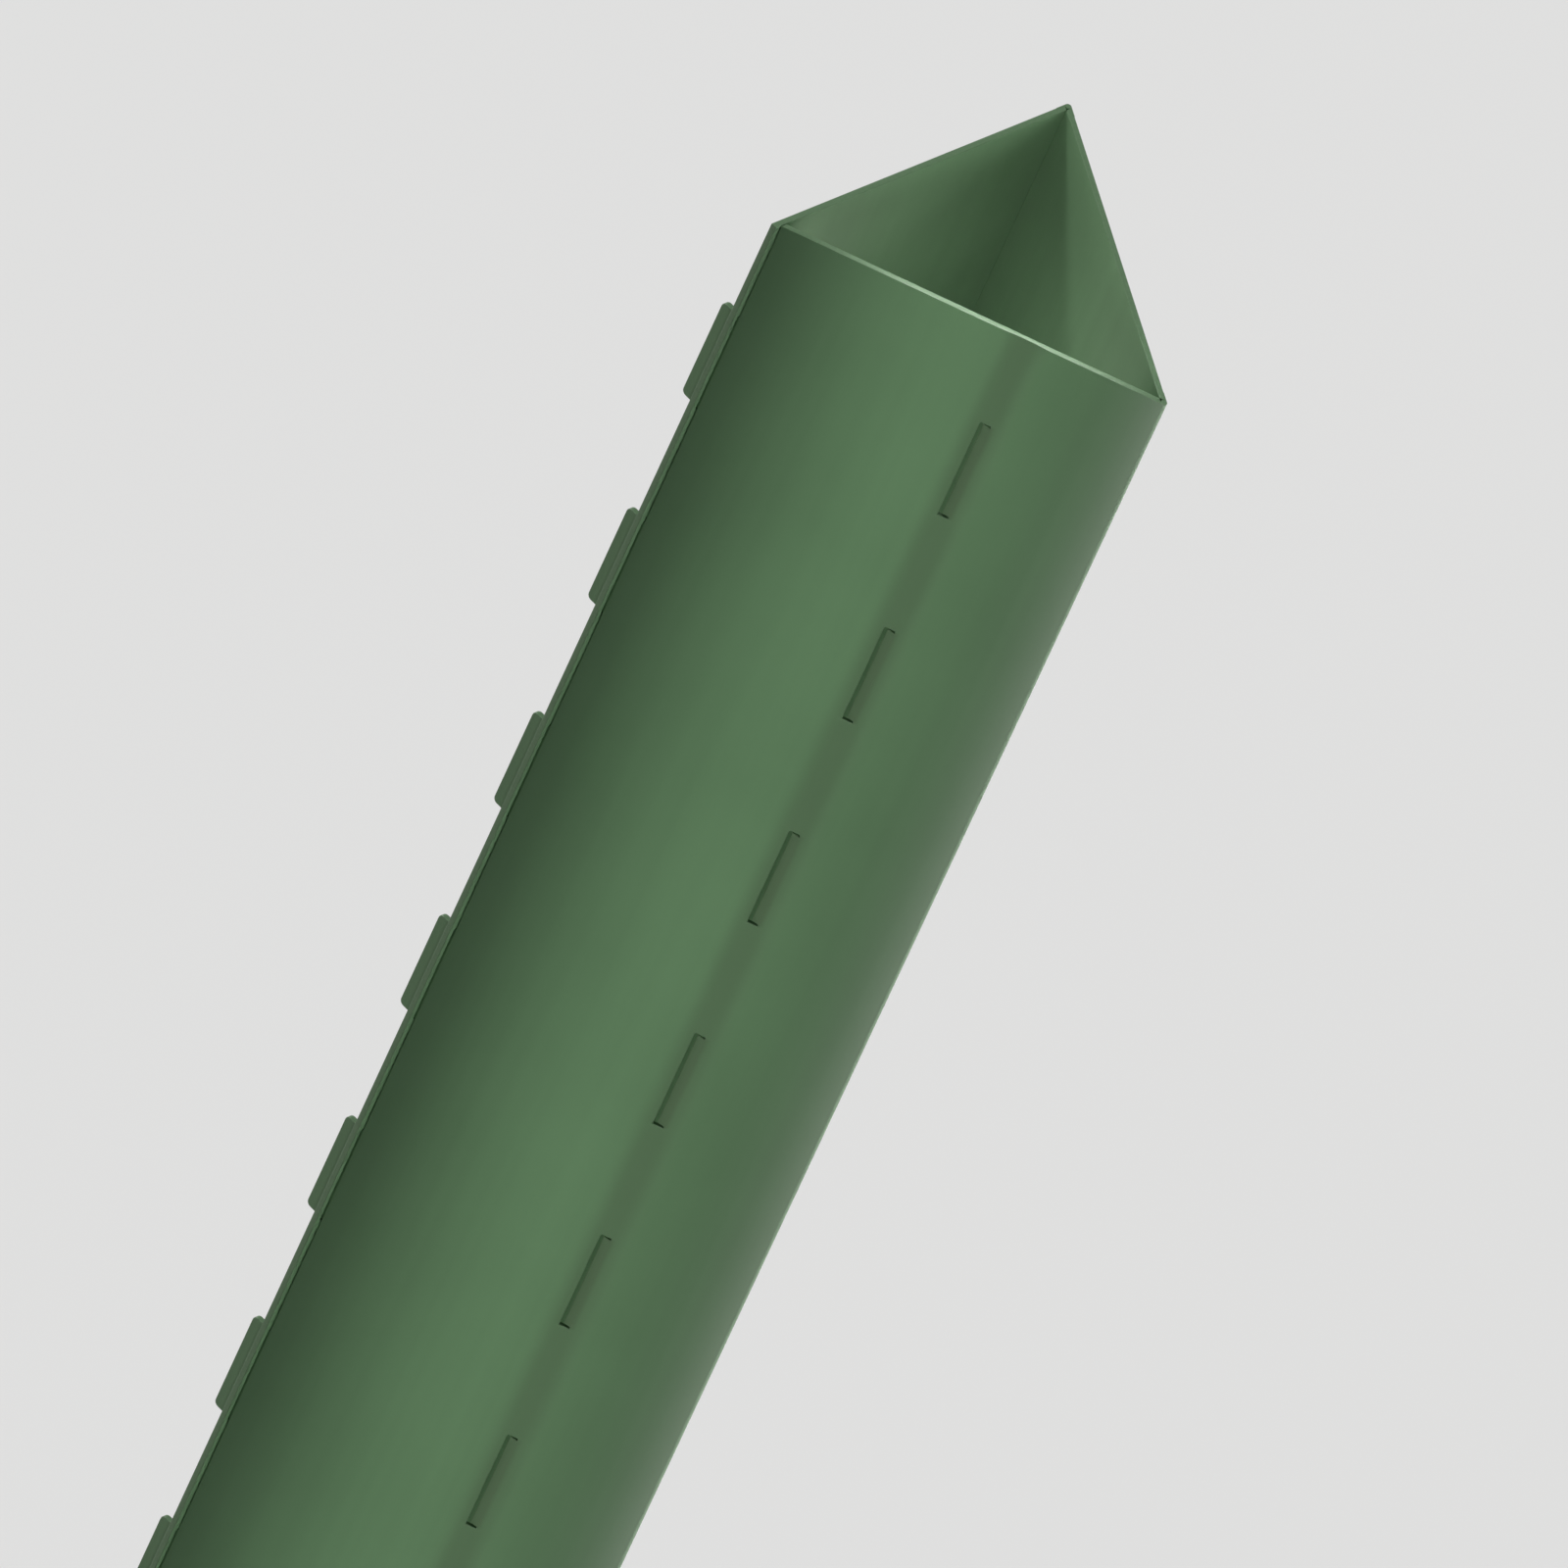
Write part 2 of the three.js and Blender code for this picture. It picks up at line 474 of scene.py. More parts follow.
@dataclass(frozen=True)
class PostSection:
    """The folded sheet seen from above, measured on the CAD frame's fold ribs."""

    sheet: float
    length: float
    front_fold: Vector
    back_fold: Vector
    tab_heights: dict[str, float]

    @classmethod
    def from_frame(cls) -> PostSection:
        """Reads the section and the heights of the tabs from the CAD nodes.

        Returns:
            The section, in millimetres.
        """
        low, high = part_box("front_fold")
        heights = {}
        for node in sorted(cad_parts):
            if node.startswith("tab_"):
                heights[node] = sum(corner.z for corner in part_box(node)) / 2 / MM
        return cls(
            sheet=(high.x - low.x) / MM,
            length=(high.z - low.z) / MM,
            front_fold=cls.axis_of("front_fold"),
            back_fold=cls.axis_of("back_fold"),
            tab_heights=heights,
        )

    @staticmethod
    def axis_of(rib: str) -> Vector:
        """Gives the point on the floor under a fold rib's axis, in millimetres."""
        low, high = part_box(rib)
        return Vector(((low.x + high.x) / 2, (low.y + high.y) / 2, 0)) / MM

    @property
    def fold_x(self) -> float:
        """Distance from the middle of a panel to its fold's axis."""
        return (self.back_fold - self.front_fold).length / 2

    @property
    def half_width(self) -> float:
        """Half a panel's outer face, up to the corner of the triangle."""
        return self.fold_x + self.sheet / 2 / math.tan(HALF_CORNER)

    @property
    def inradius(self) -> float:
        """Distance from the triangle's middle to an outer face."""
        return self.half_width * math.tan(HALF_CORNER)

    def panel_place(self, panel: Panel) -> Matrix:
        """Places a panel's own frame, which has its outer face on y = 0 and +Y inwards.

        Args:
            panel: The side of the triangle.

        Returns:
            The matrix from the panel's frame to the post's.
        """
        outwards = Matrix.Rotation(TURN_PER_PANEL * Panel.RIGHT.value, 3, "Z") @ Vector((0, -1, 0))
        ribs_middle = (self.front_fold + self.back_fold) / 2
        centre = ribs_middle - outwards * (self.inradius - self.sheet / 2)
        turned = Matrix.Rotation(TURN_PER_PANEL * panel.value, 4, "Z")
        return Matrix.Translation(centre) @ turned @ Matrix.Translation((0, -self.inradius, 0))


@dataclass(frozen=True)
class SlotRow:
    """A row of slots along a panel, one for each tab and at most a little higher than it."""

    x: float
    width: float
    length: float
    corner_radius: float = 0.5
    corner_steps: int = 4
    flap_gap: float = 0.5
    flap_end_gap: float = 0.4
    flap_turn: float = math.radians(15)
    rise: float = 0.0
    lanced: bool = False

    @property
    def flap_length(self) -> float:
        """Length of the strip that a lanced slot keeps."""
        return self.length - 2 * self.flap_end_gap

    @property
    def hinge_x(self) -> float:
        """The bend line of a lanced slot's strip."""
        return self.x + self.width / 2

    def holds(self, point: Vector, heights: list[float]) -> bool:
        """Tells whether a point of the panel lies in one of the slots.

        Args:
            point: Point in the panel's frame.
            heights: Heights of the slots' middles.

        Returns:
            True where it does.
        """
        beside = abs(point.x - self.x) < self.width / 2
        return beside and any(abs(point.z - z) < self.length / 2 for z in heights)


@dataclass
class SheetPiece:
    """A piece of the folded sheet, with what all of its pieces have in common."""

    section: PostSection
    finishes: Finishes
    edge_bevel: float = 0.16
    edge_steps: int = 2
    skin: float = 0.35
    skin_gap: float = 0.03
    flange: float = 2.5
    # How far and how strongly the folds are paled: partly stress whitening, partly painted highlight.
    whitening_and_highlight_reach: float = 4.0
    whitening_and_highlight_most: float = 0.8

    def whitening(self, distance: float) -> float:
        """Gives how much the plastic is paled at a distance from a fold's axis, partly as stress
        whitening and partly as painted highlight.
        """
        return self.whitening_and_highlight_most * math.exp(-distance / self.whitening_and_highlight_reach)

    def draw_out(self, bm: bmesh.types.BMesh, outline: list[tuple[float, float]]) -> None:
        """Draws an outline out to the post's length.

        Args:
            bm: Empty mesh that takes the solid.
            outline: Points of the section, anticlockwise from above.
        """
        face = bm.faces.new([bm.verts.new((x, y, 0)) for x, y in outline])
        drawn = bmesh.ops.extrude_face_region(bm, geom=[face], use_keep_orig=True)
        raised = [item for item in drawn["geom"] if isinstance(item, bmesh.types.BMVert)]
        bmesh.ops.translate(bm, verts=raised, vec=Z_AXIS * self.section.length)
        bmesh.ops.recalc_face_normals(bm, faces=bm.faces)

    @staticmethod
    def cut_across(bm: bmesh.types.BMesh, place: float, axis: Vector) -> None:
        """Cuts the mesh's faces where it crosses a plane, and takes nothing away.

        Args:
            bm: Mesh to cut.
            place: Where the plane stands on the axis.
            axis: The plane's normal.
        """
        everything = [*bm.verts, *bm.edges, *bm.faces]
        bmesh.ops.bisect_plane(
            bm, geom=everything, dist=NEAR, plane_co=axis * place, plane_no=axis,
        )

    def bevel_edges(self, bm: bmesh.types.BMesh, edges: list[bmesh.types.BMEdge]) -> None:
        """Takes the sharpness off cut edges, as a steel rule leaves them."""
        bmesh.ops.bevel(
            bm, geom=edges, offset=self.edge_bevel, segments=self.edge_steps, profile=0.5,
            affect="EDGES", material=-1, clamp_overlap=True,
        )

    @staticmethod
    def is_sharp(edge: bmesh.types.BMEdge) -> bool:
        """Tells whether two faces meet at a clear angle on an edge."""
        return len(edge.link_faces) == 2 and edge.calc_face_angle() > SHARP_ANGLE

    def dress(
        self, bm: bmesh.types.BMesh, place: Matrix, name: str, node: str,
    ) -> bpy.types.Object:
        """Turns a finished mesh into a piece that stands for a CAD node.

        Args:
            bm: Mesh in millimetres, in its own frame.
            place: Matrix from that frame to the post's.
            name: The new object's name.
            node: CAD node that the piece replaces.

        Returns:
            The object, which rides on nothing yet.
        """
        for edge in bm.edges:
            edge.smooth = not self.is_sharp(edge)
        for face in bm.faces:
            face.smooth = True
        bmesh.ops.transform(bm, matrix=Matrix.Scale(MM, 4) @ place, verts=bm.verts)
        mesh = bpy.data.meshes.new(name)
        bm.to_mesh(mesh)
        bm.free()
        mesh.materials.append(self.finishes.face)
        mesh.materials.append(self.finishes.cut_edge)
        piece = bpy.data.objects.new(name, mesh)
        bpy.context.collection.objects.link(piece)
        normals = piece.modifiers.new("flat_faces", "WEIGHTED_NORMAL")
        normals.keep_sharp = True
        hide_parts(node)
        log.info("%s: %d faces", name, len(mesh.polygons))
        return piece


@dataclass
class PanelSheet(SheetPiece):
    """One of the three flat sides, with its slots, its crease and its bevelled cut edges."""

    panel: Panel = Panel.RIGHT
    slots: SlotRow | None = None
    crease_width: float = 0.0
    crease_depth: float = 0.22
    crease_steps: int = 4
    crease_shade: float = 0.64
    free_side: Side | None = None
    free_outer_x: float = 0.0
    free_inner_x: float = 0.0
    # A hairline, narrower than the gap in which the frame's panels turn.
    fold_gap: float = 0.02
    # Cuts across the panel, from the fold's axis, between which the paling fades: partly stress
    # whitening, partly painted highlight.
    whitening_and_highlight_steps: tuple[float, ...] = (4, 6, 9, 13, 18)

    @property
    def heights(self) -> list[float]:
        """Heights of the row's slots."""
        return [height + self.slots.rise for height in self.section.tab_heights.values()]

    @property
    def step_x(self) -> float:
        """Where the outer face gives way to the skin that bends round a fold."""
        return self.section.fold_x - self.flange

    def end_outline(self, side: Side) -> list[tuple[float, float]]:
        """Gives one end of the section, from the outer face to the inner.

        A folded end steps down under the skin of its fold and is mitred to half the corner. A free
        end is one straight cut.

        Args:
            side: Which end.

        Returns:
            Points of the section.
        """
        sheet = self.section.sheet
        if side is self.free_side:
            return [(self.free_outer_x, 0), (self.free_inner_x, sheet)]
        depth = self.skin + self.skin_gap
        under_x = self.section.fold_x - sheet / 2 - self.fold_gap
        mitre_x = self.section.fold_x - sheet / 2 / math.tan(HALF_CORNER)
        inner_x = mitre_x - self.fold_gap / 2 / math.sin(HALF_CORNER)
        points = [(self.step_x, 0), (self.step_x, depth), (under_x, depth), (inner_x, sheet)]
        return [(side.value * x, y) for x, y in points]

    def pressed(self, x: float) -> float:
        """Gives how far the crease is pressed in at a place across the panel.

        Args:
            x: The place, in the panel's frame.

        Returns:
            0 outside the crease, up to 1 on its floor.
        """
        if not self.crease_width:
            return 0.0
        floor = self.slots.width / 2
        reach = (abs(x - self.slots.x) - floor) / (self.crease_width / 2 - floor)
        return (1 + math.cos(math.pi * min(max(reach, 0.0), 1.0))) / 2

    def press_crease(self, bm: bmesh.types.BMesh) -> None:
        """Presses a soft valley into the outer face along the row of slots.

        Args:
            bm: The panel's mesh, before its slots are cut.
        """
        half = self.crease_width / 2
        floor = self.slots.width / 2
        for step in range(self.crease_steps + 1):
            reach = floor + (half - floor) * step / self.crease_steps
            for side in Side:
                self.cut_across(bm, self.slots.x + side.value * reach, X_AXIS)
        for vert in bm.verts:
            if vert.co.y < NEAR:
                vert.co.y += self.crease_depth * self.pressed(vert.co.x)

    def cut_slots(self, bm: bmesh.types.BMesh) -> None:
        """Cuts the row of slots through the panel and rounds their corners.

        A lanced slot keeps its corners as sharp as the lance leaves them.

        Args:
            bm: The panel's mesh.
        """
        slots = self.slots
        for side in Side:
            self.cut_across(bm, slots.x + side.value * slots.width / 2, X_AXIS)
            for height in self.heights:
                self.cut_across(bm, height + side.value * slots.length / 2, Z_AXIS)
                if slots.lanced:
                    self.cut_across(bm, height + side.value * slots.flap_length / 2, Z_AXIS)
        covers = [
            face for face in bm.faces
            if abs(face.normal.y) > FACING and slots.holds(face.calc_center_median(), self.heights)
        ]
        bmesh.ops.delete(bm, geom=covers, context="FACES")
        for height in self.heights:
            rims = [
                edge for edge in bm.edges
                if edge.is_boundary and abs(edge.verts[0].co.z - height) < slots.length
            ]
            bmesh.ops.bridge_loops(bm, edges=rims)
        if slots.lanced:
            self.push_flaps(bm)
            return
        corners = [edge for edge in bm.edges if self.is_slot_corner(edge)]
        bmesh.ops.bevel(
            bm, geom=corners, offset=slots.corner_radius, segments=slots.corner_steps, profile=0.5,
            affect="EDGES", material=-1,
        )

    def push_flaps(self, bm: bmesh.types.BMesh) -> None:
        """Draws the strip of each lanced slot out of the slot's right-hand wall and turns it in.

        Args:
            bm: The panel's mesh, with its slots cut.
        """
        slots = self.slots
        walls = []
        for face in bm.faces:
            middle = face.calc_center_median()
            level = any(abs(middle.z - z) < slots.flap_length / 2 for z in self.heights)
            if level and abs(middle.x - slots.hinge_x) < NEAR and abs(face.normal.x) > FACING:
                walls.append(face)
        drawn = bmesh.ops.extrude_face_region(bm, geom=walls)
        tips = [item for item in drawn["geom"] if isinstance(item, bmesh.types.BMVert)]
        bmesh.ops.translate(bm, verts=tips, vec=X_AXIS * (slots.flap_gap - slots.width))
        bmesh.ops.rotate(
            bm, verts=tips, cent=(slots.hinge_x, self.crease_depth, 0),
            matrix=Matrix.Rotation(-slots.flap_turn, 3, "Z"),
        )

    def is_slot_corner(self, edge: bmesh.types.BMEdge) -> bool:
        """Tells whether an edge runs through the sheet at the corner of a slot.

        Args:
            edge: Edge of the panel.

        Returns:
            True where it does.
        """
        start, end = (vert.co for vert in edge.verts)
        if abs(start.y - end.y) < self.section.sheet / 2:
            return False
        at_side = abs(abs(start.x - self.slots.x) - self.slots.width / 2) < NEAR
        half = self.slots.length / 2
        return at_side and any(abs(abs(start.z - z) - half) < NEAR for z in self.heights)

    def is_cut_edge(self, edge: bmesh.types.BMEdge) -> bool:
        """Tells whether an edge is a bare edge of the sheet, clear of the folds' skins.

        Args:
            edge: Edge of the panel.

        Returns:
            True where it is.
        """
        if not self.is_sharp(edge):
            return False
        folded = [side for side in Side if side is not self.free_side]
        for side in folded:
            if all(side.value * vert.co.x > self.step_x - NEAR for vert in edge.verts):
                return False
        return True

    def mark_strain_and_painted_light(self, bm: bmesh.types.BMesh) -> None:
        """Stores on each point how much a fold pales the sheet, partly as stress whitening and partly
        as painted highlight, and how much painted shade darkens the crease and the slots' strips.

        Args:
            bm: The finished mesh.
        """
        paled_and_highlighted = bm.verts.layers.float.new(WHITENING_AND_PAINTED_HIGHLIGHT)
        pressed = bm.verts.layers.float.new(CREASE_PAINTED_SHADE)
        folded = [side for side in Side if side is not self.free_side]
        for vert in bm.verts:
            reach = min(abs(side.value * self.section.fold_x - vert.co.x) for side in folded)
            outside = vert.co.y < self.section.sheet / 2
            vert[paled_and_highlighted] = self.whitening(reach) if outside else 0.0
            # Painted shade: strongest on the crease's floor, and full on each slot's strip.
            vert[pressed] = self.crease_shade * self.pressed(vert.co.x)
            if self.is_flap(vert.co):
                vert[pressed] = 1.0

    def is_flap(self, point: Vector) -> bool:
        """Tells whether a point lies on a lanced slot's strip or on its bend line.

        Args:
            point: Point in the panel's frame.

        Returns:
            True where it does.
        """
        slots = self.slots
        if not (slots and slots.lanced):
            return False
        rim = self.edge_bevel + NEAR
        tip_side = slots.x - slots.width / 2 + rim
        if not tip_side < point.x < slots.hinge_x + rim:
            return False
        return any(abs(point.z - height) < slots.flap_length / 2 + rim for height in self.heights)

    def build(self, name: str, node: str, body: str) -> bpy.types.Object:
        """Builds the panel and lets it ride.

        Args:
            name: The new object's name.
            node: CAD node that it replaces.
            body: CAD body that it rides on.

        Returns:
            The panel.
        """
        bm = bmesh.new()
        left_end = self.end_outline(Side.LEFT)
        self.draw_out(bm, self.end_outline(Side.RIGHT) + left_end[::-1])
        for side in Side:
            if side is not self.free_side:
                for reach in self.whitening_and_highlight_steps:
                    self.cut_across(bm, side.value * (self.section.fold_x - reach), X_AXIS)
        if self.crease_width:
            self.press_crease(bm)
        if self.slots:
            self.cut_slots(bm)
        bmesh.ops.recalc_face_normals(bm, faces=bm.faces)
        self.bevel_edges(bm, [edge for edge in bm.edges if self.is_cut_edge(edge)])
        self.mark_strain_and_painted_light(bm)
        for face in bm.faces:
            across = abs(face.normal.y) < FACING
            face.material_index = (Surface.CUT_EDGE if across else Surface.FACE).value
        piece = self.dress(bm, self.section.panel_place(self.panel), name, node)
        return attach(piece, body)


@dataclass
class FoldSkin(SheetPiece):
    """A scored fold: a round bead at half the sheet's thickness, with a thin flange on each panel."""

    fold_side: Side = Side.LEFT
    bend_steps: int = 10

    def outline(self) -> list[tuple[float, float]]:
        """Gives the fold's section round its axis, with +Y into the corner.

        Returns:
            Points of the section, anticlockwise from above.
        """
        radius = self.section.sheet / 2
        inner = radius - self.skin
        foot = math.sqrt(radius ** 2 - inner ** 2)
        along = Vector((math.sin(HALF_CORNER), math.cos(HALF_CORNER)))
        outwards = Vector((math.cos(HALF_CORNER), -math.sin(HALF_CORNER)))
        points = []
        for step in range(self.bend_steps + 1):
            angle = -math.pi / 2 + TURN_PER_PANEL / 2 * (2 * step / self.bend_steps - 1)
            points.append(Vector((math.cos(angle), math.sin(angle))) * radius)
        points.append(outwards * radius + along * self.flange)
        points.append(outwards * inner + along * self.flange)
        bead_foot = outwards * inner + along * foot
        bead_start = math.atan2(bead_foot.y, bead_foot.x)
        for step in range(self.bend_steps + 1):
            angle = bead_start + (math.pi - 2 * bead_start) * step / self.bend_steps
            points.append(Vector((math.cos(angle), math.sin(angle))) * radius)
        for point in points[self.bend_steps + 2:self.bend_steps:-1]:
            points.append(Vector((-point.x, point.y)))
        return [(point.x, point.y) for point in points]

    def build(self, name: str, node: str, bodies: tuple[str, str]) -> bpy.types.Object:
        """Builds the fold and places it at its corner.

        Args:
            name: The new object's name.
            node: CAD node that it replaces.
            bodies: Not used.

        Returns:
            The fold.
        """
        bm = bmesh.new()
        self.draw_out(bm, self.outline())
        ends = [edge for edge in bm.edges if self.is_bare_rim(edge)]
        self.bevel_edges(bm, ends)
        # The outside of the bend is paled, partly as stress whitening and partly as painted highlight.
        layer = bm.verts.layers.float.new(WHITENING_AND_PAINTED_HIGHLIGHT)
        for vert in bm.verts:
            vert[layer] = self.whitening(vert.co.xy.length) if self.is_outside(vert.co) else 0.0
        for face in bm.faces:
            at_end = abs(face.normal.z) > FACING
            face.material_index = (Surface.CUT_EDGE if at_end else Surface.FACE).value
        place = self.fold_place()
        piece = self.dress(bm, place, name, node)
        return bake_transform(piece)

    def is_outside(self, point: Vector) -> bool:
        """Tells whether a point is on the side of the fold that the bend has stretched."""
        outwards = abs(point.x) * math.cos(HALF_CORNER) - point.y * math.sin(HALF_CORNER)
        return point.y < 0 or outwards > (self.section.sheet - self.skin) / 2

    def is_bare_rim(self, edge: bmesh.types.BMEdge) -> bool:
        """Tells whether an edge lies on an end of the post, away from the panels' steps.

        Args:
            edge: Edge of the fold.

        Returns:
            True where it does.
        """
        if not self.is_sharp(edge):
            return False
        walls = [face.normal for face in edge.link_faces if abs(face.normal.z) < FACING]
        if len(walls) != 1:
            return False
        return walls[0].y < math.cos(HALF_CORNER) - NEAR

    def fold_place(self) -> Matrix:
        """Places the fold's frame at one end of the right panel, with +Y into the corner.

        Returns:
            The matrix from the fold's frame to the post's.
        """
        at_end = Vector((self.fold_side.value * self.section.fold_x, self.section.sheet / 2, 0))
        turn = Matrix.Rotation(self.fold_side.value * TURN_PER_PANEL / 2, 4, "Z")
        return self.section.panel_place(Panel.RIGHT) @ Matrix.Translation(at_end) @ turn


@dataclass
class SeamTab(SheetPiece):
    """A tab of the front panel's free edge, bent back to stand square in its slot."""

    root_x: float = 0.0
    depth: float = 4.5
    length: float = 22.0
    corner_radius: float = 1.0
    corner_steps: int = 4
    bend: float = HALF_CORNER

    def build(self, node: str, height: float) -> bpy.types.Object:
        """Builds one tab and lets it ride.

        Args:
            node: CAD node that it replaces.
            height: Height of the tab's middle.

        Returns:
            The tab.
        """
        bm = bmesh.new()
        half = self.length / 2
        corners = ((0, -half), (0, half), (-self.depth, half), (-self.depth, -half))
        bm.faces.new([bm.verts.new((x, 0, z)) for x, z in corners])
        tip = [vert for vert in bm.verts if vert.co.x < -self.depth / 2]
        bmesh.ops.bevel(
            bm, geom=tip, offset=self.corner_radius, segments=self.corner_steps, profile=0.5,
            affect="VERTICES", material=-1,
        )
        drawn = bmesh.ops.extrude_face_region(bm, geom=bm.faces[:], use_keep_orig=True)
        pushed = [item for item in drawn["geom"] if isinstance(item, bmesh.types.BMVert)]
        bmesh.ops.translate(bm, verts=pushed, vec=(0, self.section.sheet, 0))
        bmesh.ops.recalc_face_normals(bm, faces=bm.faces)
        bare = [
            edge for edge in bm.edges
            if self.is_sharp(edge) and any(vert.co.x < -NEAR for vert in edge.verts)
        ]
        self.bevel_edges(bm, bare)
        for face in bm.faces:
            across = abs(face.normal.y) < FACING
            face.material_index = (Surface.CUT_EDGE if across else Surface.FACE).value
        root = Matrix.Translation((self.root_x, 0, height)) @ Matrix.Rotation(-self.bend, 4, "Z")
        place = self.section.panel_place(Panel.FRONT) @ root
        piece = self.dress(bm, place, f"bent_{node}", node)
        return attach(piece, "tabs")


@dataclass
class FoldedPost:
    """The whole post: three panels, two folds and the seam's tabs."""

    section: PostSection
    finishes: Finishes
    seam_gap: float = 0.3
    # The seam shows as a hairline, so the front panel's free edge comes this much nearer the lip.
    seam_closing: float = 0.2
    lip_reach: float = 0.5
    tab_length: float = 22.0
    tab_reach: float = 3.0
    tab_clearance: float = 0.3
    tie_slot_inset: float = 27.2
    tie_slot_width: float = 2.0
    tie_slot_length: float = 22.5
    tab_drop: float = 1.2
    crease_width: float = 10.0

    @property
    def root_x(self) -> float:
        """The front panel's free edge on its outer face, where the tabs bend."""
        return -self.section.half_width + (self.section.sheet + self.seam_gap) / math.sin(CORNER)

    def build(self) -> None:
        """Builds every piece of the post."""
        self.build_panels()
        self.build_folds()
        self.build_tabs()

    def build_panels(self) -> None:
        """Builds the front panel with its tie slots, the plain right one and the slotted left one."""
        sheet = self.section.sheet
        common = {"section": self.section, "finishes": self.finishes}
        PanelSheet(
            **common,
            panel=Panel.FRONT,
            slots=SlotRow(
                self.section.half_width - self.tie_slot_inset,
                self.tie_slot_width,
                self.tie_slot_length,
                rise=self.tab_drop,
                lanced=True,
            ),
            crease_width=self.crease_width,
            free_side=Side.LEFT,
            free_outer_x=self.root_x - self.seam_closing,
            free_inner_x=self.root_x - self.seam_closing + sheet / math.tan(CORNER),
        ).build("front_sheet", "front_panel", "front")
        PanelSheet(**common, panel=Panel.RIGHT).build("right_sheet", "right_panel", "right")
        slot_inset = (sheet + self.seam_gap) / math.tan(CORNER) + sheet / 2
        PanelSheet(
            **common,
            panel=Panel.LEFT,
            slots=SlotRow(
                self.section.half_width - slot_inset,
                sheet + 2 * self.tab_clearance,
                self.tab_length + 2 * self.tab_clearance,
            ),
            free_side=Side.RIGHT,
            free_outer_x=self.section.half_width + self.lip_reach,
            free_inner_x=self.section.half_width + self.lip_reach,
        ).build("left_sheet", "left_panel", "left")

    def build_folds(self) -> None:
        """Builds the skins of the two scored folds."""
        common = {"section": self.section, "finishes": self.finishes}
        front = FoldSkin(**common, fold_side=Side.LEFT)
        front.build("front_fold_skin", "front_fold", ("front", "right"))
        back = FoldSkin(**common, fold_side=Side.RIGHT)
        back.build("back_fold_skin", "back_fold", ("right", "left"))

    def build_tabs(self) -> None:
        """Builds the row of tabs."""
        tab = SeamTab(
            section=self.section,
            finishes=self.finishes,
            root_x=self.root_x,
            depth=self.seam_gap + self.section.sheet + self.tab_reach,
            length=self.tab_length,
        )
        for node, height in self.section.tab_heights.items():
            tab.build(node, height)


class Aim(Enum):
    """What a lamp lights."""

    POST = "the post as a whole"
    CORE = "the inside, at half height"
    MOUTH = "the inside, just below the upper end"
    SEAM = "the lip and the tabs"
    FRONT = "the front panel's outer face"
    FOLD = "the front fold's corner"
    RIM = "the front panel's upper rim"


@dataclass(frozen=True)
class Lamp:
    """A soft box, placed from the point that it lights, in metres, with its spread in degrees."""

    name: str
    aim: Aim
    offset: tuple[float, float, float]
    width: float
    height: float
    watts: float
    spread: float = 180.0
    colour: int = 0xFFFFFF

    def hang(self, point: Vector) -> None:
        """Hangs the lamp.

        Args:
            point: The point that it lights, in metres.
        """
        data = bpy.data.lights.new(self.name, "AREA")
        data.shape = "RECTANGLE"
        data.size, data.size_y = self.width, self.height
        data.spread = math.radians(self.spread)
        data.energy = self.watts
        data.color = linear(self.colour)[:3]
        offset = Vector(self.offset)
        lamp = bpy.data.objects.new(self.name, data)
        lamp.location = point + offset
        lamp.rotation_euler = (-offset).to_track_quat("-Z", "Y").to_euler()
        lamp.visible_camera = False
        bpy.context.collection.objects.link(lamp)


# Three boxes light the post from above and behind. The left one stands high enough to shine over the
# left panel's rim on the right panel's inner face. The strips and small lamps stand close to the post,
# each for the face or edge that it is named for, and take little power.
LAMPS = (
    Lamp("core_strip", Aim.CORE, (0, -0.028, 0), 0.03, 0.60, watts=0.054, spread=110),
    Lamp("mouth_fill", Aim.MOUTH, (0, -0.028, 0), 0.058, 0.03, watts=0.0081, colour=0xFFDCFB),
    Lamp("seam_strip", Aim.SEAM, (-0.3, -0.02, 0), 0.05, 0.70, watts=0.215, spread=70, colour=0xFFE9FA),
    Lamp("lip_strip", Aim.SEAM, (1.2, -0.02, 0), 0.03, 0.70, watts=1.0, spread=70),
    Lamp("overhead", Aim.POST, (0, 1.0, 2.4), 2.0, 2.0, watts=2.0),
    Lamp("front_strip", Aim.FRONT, (0, -0.12, 0), 0.03, 0.72, watts=0.076, spread=41),
    Lamp("fold_strip", Aim.FOLD, (0.022, -0.035, 0), 0.01, 0.72, watts=0.022, spread=70),
    Lamp("rim_lamp", Aim.RIM, (0, 0.024, 0.036), 0.044, 0.008, watts=0.0037, spread=48),
    Lamp("right_box", Aim.POST, (1.7, 1.1, 1.1), 1.2, 1.2, watts=23.0),
    Lamp("left_box", Aim.POST, (-1.7, 1.1, 1.83), 0.5, 0.5, watts=38.0),
)


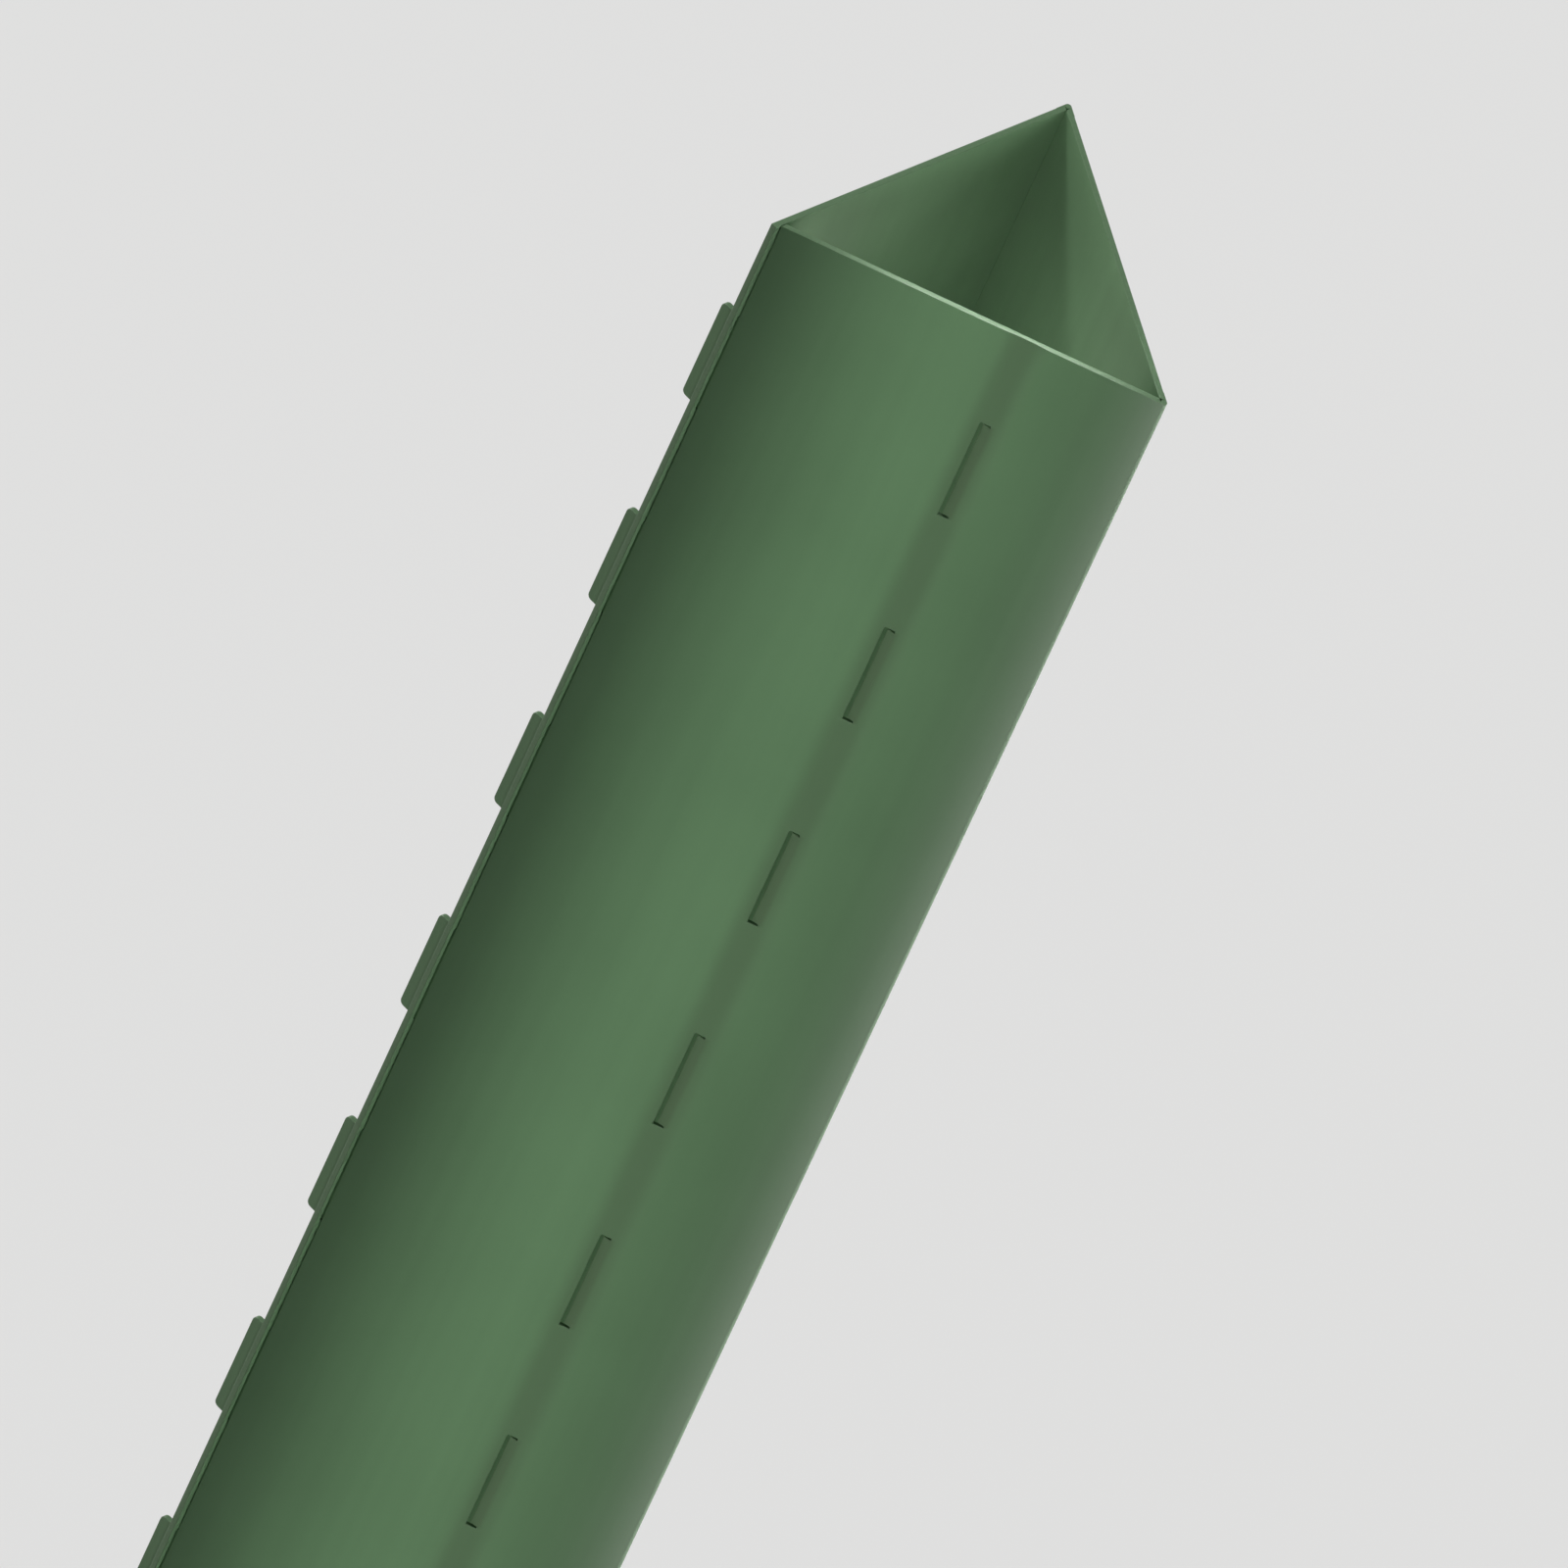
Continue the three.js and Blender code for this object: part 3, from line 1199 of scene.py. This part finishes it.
@dataclass
class Studio:
    """Floor, soft light and the camera that looks down on the post's upper end.

    The floor's size is in metres. The other lengths are millimetres, those of the aims in the front
    panel's frame. The far clip is a number of camera distances.
    """

    section: PostSection
    floor_finish: FloorFinish
    floor_size: float = 40.0
    sky_level: float = 0.05
    sky_colour: int = 0xE2E2E2
    elevation: float = math.radians(39.05)
    roll: float = math.radians(25.02)
    frame_width: float = 271.4
    aim_x: float = 5.0
    aim_below_rim: float = 111.65
    lens: float = 1400.0
    sensor: float = 36.0
    far_clip: float = 10.0
    core_depth: float = 30.0
    mouth_x: float = -3.0
    mouth_drop: float = 15.0
    seam_height: float = 400.0
    strip_height: float = 360.0
    front_x: float = -0.4
    rim_x: float = 4.0

    def build(self) -> None:
        """Lays the floor, hangs the lamps and sets up the camera."""
        self.lay_floor()
        self.light_sky()
        self.hang_lamps()
        self.set_camera()

    def lay_floor(self) -> None:
        """Lays the floor that the post stands on."""
        bm = bmesh.new()
        bmesh.ops.create_grid(bm, x_segments=1, y_segments=1, size=self.floor_size / 2)
        mesh = bpy.data.meshes.new("floor")
        bm.to_mesh(mesh)
        bm.free()
        mesh.materials.append(self.floor_finish.material())
        floor = bpy.data.objects.new("floor", mesh)
        bpy.context.collection.objects.link(floor)

    def light_sky(self) -> None:
        """Lights the room evenly and lets the camera see it as pale as the floor."""
        world = bpy.data.worlds.new("studio")
        bpy.context.scene.world = world
        world.use_nodes = True
        tree = world.node_tree
        tree.nodes.clear()
        light = add_node(
            tree, "ShaderNodeBackground", {"Color": (1, 1, 1, 1), "Strength": self.sky_level},
        )
        pale = add_node(tree, "ShaderNodeBackground", {"Color": linear(self.sky_colour)})
        shown = add_node(
            tree, "ShaderNodeMixShader",
            {
                0: seen_directly(tree),
                1: light.outputs["Background"],
                2: pale.outputs["Background"],
            },
        )
        add_node(tree, "ShaderNodeOutputWorld", {"Surface": shown.outputs["Shader"]})

    def hang_lamps(self) -> None:
        """Hangs every lamp from the point that it lights."""
        points = self.aim_points()
        for lamp in LAMPS:
            lamp.hang(points[lamp.aim])

    def aim_points(self) -> dict[Aim, Vector]:
        """Works out the points that the lamps light.

        Returns:
            Each aim's point, in metres.
        """
        half, length = self.section.half_width, self.section.length
        on_panel = {
            Aim.CORE: (0, self.core_depth, length / 2),
            Aim.MOUTH: (self.mouth_x, self.core_depth, length - self.mouth_drop),
            Aim.SEAM: (-half, 0, self.seam_height),
            Aim.FRONT: (self.front_x, 0, self.strip_height),
            Aim.FOLD: (half, 0, self.strip_height),
            Aim.RIM: (self.rim_x, self.section.sheet / 2, length),
        }
        place = self.section.panel_place(Panel.FRONT)
        points = {aim: place @ Vector(point) * MM for aim, point in on_panel.items()}
        points[Aim.POST] = Z_AXIS * length * MM / 2
        return points

    def set_camera(self) -> None:
        """Points a long lens down at the front panel, tilted so that the post leans to the right."""
        data = bpy.data.cameras.new("camera")
        data.sensor_width, data.lens = self.sensor, self.lens
        camera = bpy.data.objects.new("camera", data)
        on_face = Vector((self.aim_x, 0, self.section.length - self.aim_below_rim))
        aim = self.section.panel_place(Panel.FRONT) @ on_face * MM
        distance = self.frame_width * MM * self.lens / self.sensor
        data.clip_end = self.far_clip * distance
        looking_down = Matrix.Rotation(math.pi / 2 - self.elevation, 4, "X")
        rolled = Matrix.Rotation(self.roll, 4, "Z")
        back = Matrix.Translation((0, 0, distance))
        camera.matrix_world = Matrix.Translation(aim) @ looking_down @ rolled @ back
        bpy.context.collection.objects.link(camera)
        bpy.context.scene.camera = camera


def main() -> None:
    """Builds the post and its studio."""
    logging.basicConfig(level=logging.INFO, format="%(message)s")
    bpy.context.scene.view_settings.view_transform = "Standard"
    section = PostSection.from_frame()
    log.info("sheet %.2f mm, panels %.2f mm", section.sheet, 2 * section.half_width)
    finishes = Finishes(SheetFinish().material(), CutEdgeFinish().material())
    FoldedPost(section, finishes).build()
    Studio(section, FloorFinish()).build()


if __name__ == "__main__":
    main()
